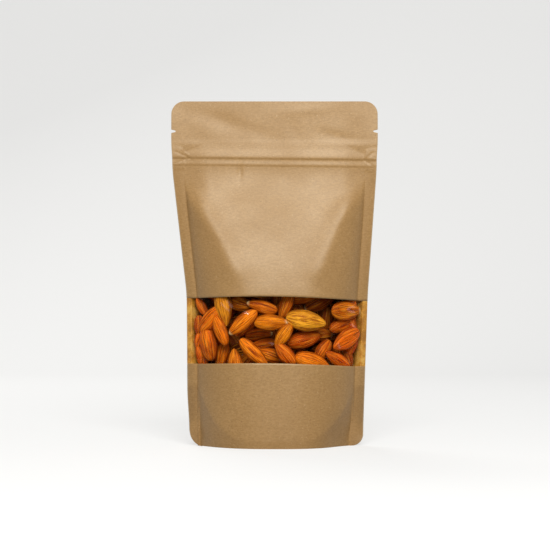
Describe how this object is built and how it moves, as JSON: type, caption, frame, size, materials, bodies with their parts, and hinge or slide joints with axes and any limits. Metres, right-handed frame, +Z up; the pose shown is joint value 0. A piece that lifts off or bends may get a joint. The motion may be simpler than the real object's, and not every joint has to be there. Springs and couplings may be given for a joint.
{
  "type": "kraft stand-up pouch",
  "caption": "Closed kraft paper stand-up pouch with a round-bottom gusset, a press-to-close zip, tear notches and a clear window band, filled with almonds.",
  "frame": {"origin": "bottom centre, on the surface that the pouch stands on", "axes": "+X to the right as seen from the front, -Y out of the front, +Z up"},
  "size_m": [0.12, 0.0484, 0.2],
  "materials": {
    "kraft": "satin kraft paper laminate",
    "film": "clear glossy film",
    "strip": "translucent zip profile",
    "almond": "grooved brown almond skin"
  },
  "bodies": {
    "root": {"front_upper_panel": "kraft", "front_lower_panel": "kraft", "back_panel": "kraft", "bottom_gusset": "kraft", "window_film": "film", "zipper_track_front": "strip", "zipper_track_back": "strip", "almond_01": "almond", "almond_02": "almond", "almond_03": "almond", "almond_04": "almond", "almond_05": "almond", "almond_06": "almond", "almond_07": "almond", "almond_08": "almond", "almond_09": "almond", "almond_10": "almond", "almond_11": "almond", "almond_12": "almond", "almond_13": "almond", "almond_14": "almond", "almond_15": "almond", "almond_16": "almond", "almond_17": "almond", "almond_18": "almond", "almond_19": "almond", "almond_20": "almond", "almond_21": "almond", "almond_22": "almond", "almond_23": "almond", "almond_24": "almond", "almond_25": "almond", "almond_26": "almond", "almond_27": "almond", "almond_28": "almond", "almond_29": "almond", "almond_30": "almond", "almond_31": "almond", "almond_32": "almond", "almond_33": "almond", "almond_34": "almond", "almond_35": "almond", "almond_36": "almond", "almond_37": "almond", "almond_38": "almond", "almond_39": "almond", "almond_40": "almond", "almond_41": "almond", "almond_42": "almond", "almond_43": "almond", "almond_44": "almond", "almond_heap": "almond"}
  },
  "joints": []
}
